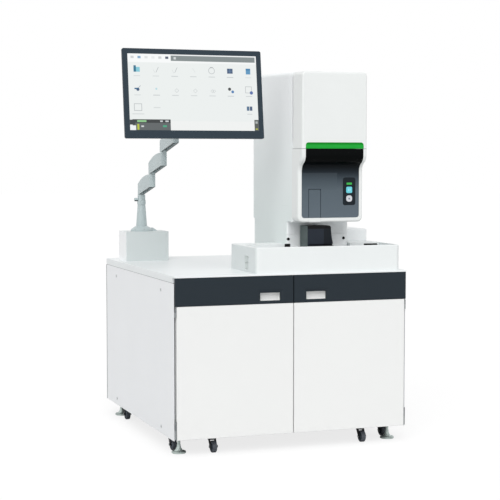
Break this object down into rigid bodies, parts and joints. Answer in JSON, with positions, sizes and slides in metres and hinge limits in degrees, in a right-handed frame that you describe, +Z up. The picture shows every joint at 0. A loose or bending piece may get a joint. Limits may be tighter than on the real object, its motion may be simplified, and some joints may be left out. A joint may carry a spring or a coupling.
{
  "type": "hematology analyzer",
  "caption": "Floor-standing blood cell analyzer: a white tower over a rack sampler on a wheeled cabinet with doors, and a monitor on a long folding arm.",
  "frame": {"origin": "on the floor, under the centre of the cabinet's plan", "axes": "+X to the right as the user faces it, +Y to the back, +Z up"},
  "size_m": [1.2165, 1.14, 1.6703],
  "materials": {
    "worktop_laminate": "white laminate, satin",
    "door_laminate": "white laminate, satin",
    "fascia_plastic": "dark grey, fine grain",
    "white_sheet": "white powder coat",
    "frame_steel": "grey powder coat",
    "base_steel": "dark powder coat",
    "stud_steel": "satin",
    "bright_steel": "satin, zinc plated",
    "castor_rubber": "grey-black",
    "foot_steel": "satin, grey-green",
    "fork_steel": "black powder coat",
    "housing_plastic": "pale grey-green, fine grain",
    "front_plastic": "white, satin",
    "deck_steel": "brushed",
    "dark_panel": "dark grey, gloss",
    "dark_plastic": "dark grey",
    "button_cyan": "cyan, lit",
    "button_white": "white",
    "green_bar": "green, clear",
    "unit_plastic": "grey",
    "container_plastic": "natural, translucent white",
    "cartridge_plastic": "pale grey",
    "arm_aluminium": "pale grey paint",
    "box_sheet": "pale grey powder coat",
    "bezel_plastic": "dark grey, satin",
    "screen_glass": "matt display glass"
  },
  "bodies": {
    "root": {"worktop": "worktop_laminate", "base_pan": "base_steel", "cabinet_frame": "frame_steel", "left_side_panel": "white_sheet", "right_side_panel": "white_sheet", "panel_studs": "stud_steel", "rear_panel": "white_sheet", "castor_plates": "bright_steel", "pneumatic_unit": "unit_plastic", "diluent_container": "container_plastic", "sampler_housing": "housing_plastic", "sampler_deck": "deck_steel", "centre_station": "dark_plastic", "main_housing": "housing_plastic", "neck_cover": "housing_plastic", "base_block": "housing_plastic", "front_frame": "front_plastic", "front_panel": "dark_panel", "button_panel": "dark_plastic", "reagent_cartridges": "cartridge_plastic", "arm_box": "box_sheet", "arm_base": "arm_aluminium", "arm_post": "arm_aluminium"},
    "left_door": {"left_door_panel": "door_laminate", "left_door_fascia": "fascia_plastic"},
    "right_door": {"right_door_panel": "door_laminate", "right_door_fascia": "fascia_plastic"},
    "arm_head": {"monitor_yoke": "arm_aluminium"},
    "monitor": {"monitor_mount": "arm_aluminium", "monitor_shell": "bezel_plastic", "monitor_bezel": "bezel_plastic", "monitor_screen": "screen_glass"},
    "upper_cover": {"upper_cover": "front_plastic", "light_bar": "green_bar"},
    "tube_holder": {"tube_holder": "dark_panel"},
    "start_button": {"start_button": "button_cyan"},
    "mode_button": {"mode_button": "button_white"},
    "feed_pusher": {"feed_pusher": "dark_plastic"},
    "exit_pusher": {"exit_pusher": "dark_plastic"},
    "power_switch": {"power_switch": "dark_plastic"},
    "castor_swivel_1": {"castor_fork_1": "fork_steel"},
    "castor_roll_1": {"castor_wheel_1": "castor_rubber"},
    "castor_swivel_2": {"castor_fork_2": "fork_steel"},
    "castor_roll_2": {"castor_wheel_2": "castor_rubber"},
    "castor_swivel_3": {"castor_fork_3": "fork_steel"},
    "castor_roll_3": {"castor_wheel_3": "castor_rubber"},
    "castor_swivel_4": {"castor_fork_4": "fork_steel"},
    "castor_roll_4": {"castor_wheel_4": "castor_rubber"},
    "castor_swivel_5": {"castor_fork_5": "fork_steel"},
    "castor_roll_5": {"castor_wheel_5": "castor_rubber"},
    "castor_swivel_6": {"castor_fork_6": "fork_steel"},
    "castor_roll_6": {"castor_wheel_6": "castor_rubber"},
    "foot_1": {"levelling_foot_1": "foot_steel"},
    "arm_1": {"arm_link_1": "arm_aluminium"},
    "foot_2": {"levelling_foot_2": "foot_steel"},
    "arm_2": {"arm_link_2": "arm_aluminium"},
    "foot_3": {"levelling_foot_3": "foot_steel"},
    "arm_3": {"arm_link_3": "arm_aluminium"},
    "foot_4": {"levelling_foot_4": "foot_steel"},
    "arm_4": {"arm_link_4": "arm_aluminium"}
  },
  "joints": [
    {"name": "left_door_hinge", "type": "hinge", "parent": "root", "child": "left_door", "pos_m": [-0.514, -0.5655, 0.35], "axis": [0, 0, -1], "range_deg": [0, 110]},
    {"name": "right_door_hinge", "type": "hinge", "parent": "root", "child": "right_door", "pos_m": [0.514, -0.5655, 0.35], "axis": [0, 0, 1], "range_deg": [0, 110]},
    {"name": "castor_swivel_1", "type": "hinge", "parent": "root", "child": "castor_swivel_1", "pos_m": [-0.48, -0.392, 0.055], "axis": [0, 0, 1], "continuous": true},
    {"name": "castor_roll_1", "type": "hinge", "parent": "castor_swivel_1", "child": "castor_roll_1", "pos_m": [-0.48, -0.412, 0.025], "axis": [1, 0, 0], "continuous": true},
    {"name": "castor_swivel_2", "type": "hinge", "parent": "root", "child": "castor_swivel_2", "pos_m": [0.48, -0.392, 0.055], "axis": [0, 0, 1], "continuous": true},
    {"name": "castor_roll_2", "type": "hinge", "parent": "castor_swivel_2", "child": "castor_roll_2", "pos_m": [0.48, -0.412, 0.025], "axis": [1, 0, 0], "continuous": true},
    {"name": "castor_swivel_3", "type": "hinge", "parent": "root", "child": "castor_swivel_3", "pos_m": [-0.337, -0.496, 0.055], "axis": [0, 0, 1], "continuous": true},
    {"name": "castor_roll_3", "type": "hinge", "parent": "castor_swivel_3", "child": "castor_roll_3", "pos_m": [-0.337, -0.516, 0.025], "axis": [1, 0, 0], "continuous": true},
    {"name": "castor_swivel_4", "type": "hinge", "parent": "root", "child": "castor_swivel_4", "pos_m": [0.337, -0.496, 0.055], "axis": [0, 0, 1], "continuous": true},
    {"name": "castor_roll_4", "type": "hinge", "parent": "castor_swivel_4", "child": "castor_roll_4", "pos_m": [0.337, -0.516, 0.025], "axis": [1, 0, 0], "continuous": true},
    {"name": "castor_swivel_5", "type": "hinge", "parent": "root", "child": "castor_swivel_5", "pos_m": [-0.48, 0.361, 0.055], "axis": [0, 0, 1], "continuous": true},
    {"name": "castor_roll_5", "type": "hinge", "parent": "castor_swivel_5", "child": "castor_roll_5", "pos_m": [-0.48, 0.341, 0.025], "axis": [1, 0, 0], "continuous": true},
    {"name": "castor_swivel_6", "type": "hinge", "parent": "root", "child": "castor_swivel_6", "pos_m": [0.48, 0.361, 0.055], "axis": [0, 0, 1], "continuous": true},
    {"name": "castor_roll_6", "type": "hinge", "parent": "castor_swivel_6", "child": "castor_roll_6", "pos_m": [0.48, 0.341, 0.025], "axis": [1, 0, 0], "continuous": true},
    {"name": "foot_1_height", "type": "slide", "parent": "root", "child": "foot_1", "axis": [0, 0, -1], "range_m": [0, 0.012]},
    {"name": "foot_2_height", "type": "slide", "parent": "root", "child": "foot_2", "axis": [0, 0, -1], "range_m": [0, 0.012]},
    {"name": "foot_3_height", "type": "slide", "parent": "root", "child": "foot_3", "axis": [0, 0, -1], "range_m": [0, 0.012]},
    {"name": "foot_4_height", "type": "slide", "parent": "root", "child": "foot_4", "axis": [0, 0, -1], "range_m": [0, 0.012]},
    {"name": "arm_swivel", "type": "hinge", "parent": "root", "child": "arm_1", "pos_m": [-0.389, 0.405, 1.05], "axis": [0, 0, 1], "range_deg": [-100, 3]},
    {"name": "elbow_1", "type": "hinge", "parent": "arm_1", "child": "arm_2", "pos_m": [-0.389, 0.217, 1.149], "axis": [0, 0, 1], "range_deg": [-100, 3]},
    {"name": "elbow_2", "type": "hinge", "parent": "arm_2", "child": "arm_3", "pos_m": [-0.389, 0.029, 1.248], "axis": [0, 0, 1], "range_deg": [-100, 3]},
    {"name": "elbow_3", "type": "hinge", "parent": "arm_3", "child": "arm_4", "pos_m": [-0.389, -0.159, 1.347], "axis": [0, 0, 1], "range_deg": [-100, 3]},
    {"name": "head_swivel", "type": "hinge", "parent": "arm_4", "child": "arm_head", "pos_m": [-0.389, -0.347, 1.446], "axis": [0, 0, -1], "range_deg": [-90, 90]},
    {"name": "monitor_tilt", "type": "hinge", "parent": "arm_head", "child": "monitor", "pos_m": [-0.389, -0.37662, 1.487], "axis": [1, 0, 0], "range_deg": [-15, 10]},
    {"name": "cover_hinge", "type": "hinge", "parent": "root", "child": "upper_cover", "pos_m": [0.193, -0.4384, 1.57856], "axis": [-1, 0, 0], "range_deg": [0, 85]},
    {"name": "tube_holder_slide", "type": "slide", "parent": "root", "child": "tube_holder", "axis": [0, -1, 0], "range_m": [0, 0.07]},
    {"name": "start_button_press", "type": "slide", "parent": "root", "child": "start_button", "axis": [0, 1, 0], "range_m": [0, 0.0015], "stiffness_N_per_m": 600, "springref_m": -0.001},
    {"name": "mode_button_press", "type": "slide", "parent": "root", "child": "mode_button", "axis": [0, 1, 0], "range_m": [0, 0.0015], "stiffness_N_per_m": 600, "springref_m": -0.001},
    {"name": "feed_pusher_slide", "type": "slide", "parent": "root", "child": "feed_pusher", "axis": [0, 1, 0], "range_m": [0, 0.09]},
    {"name": "exit_pusher_slide", "type": "slide", "parent": "root", "child": "exit_pusher", "axis": [0, -1, 0], "range_m": [0, 0.09]},
    {"name": "power_switch_rock", "type": "hinge", "parent": "root", "child": "power_switch", "pos_m": [-0.1603, -0.438, 0.797], "axis": [0, 1, 0], "range_deg": [0, 12]}
  ]
}
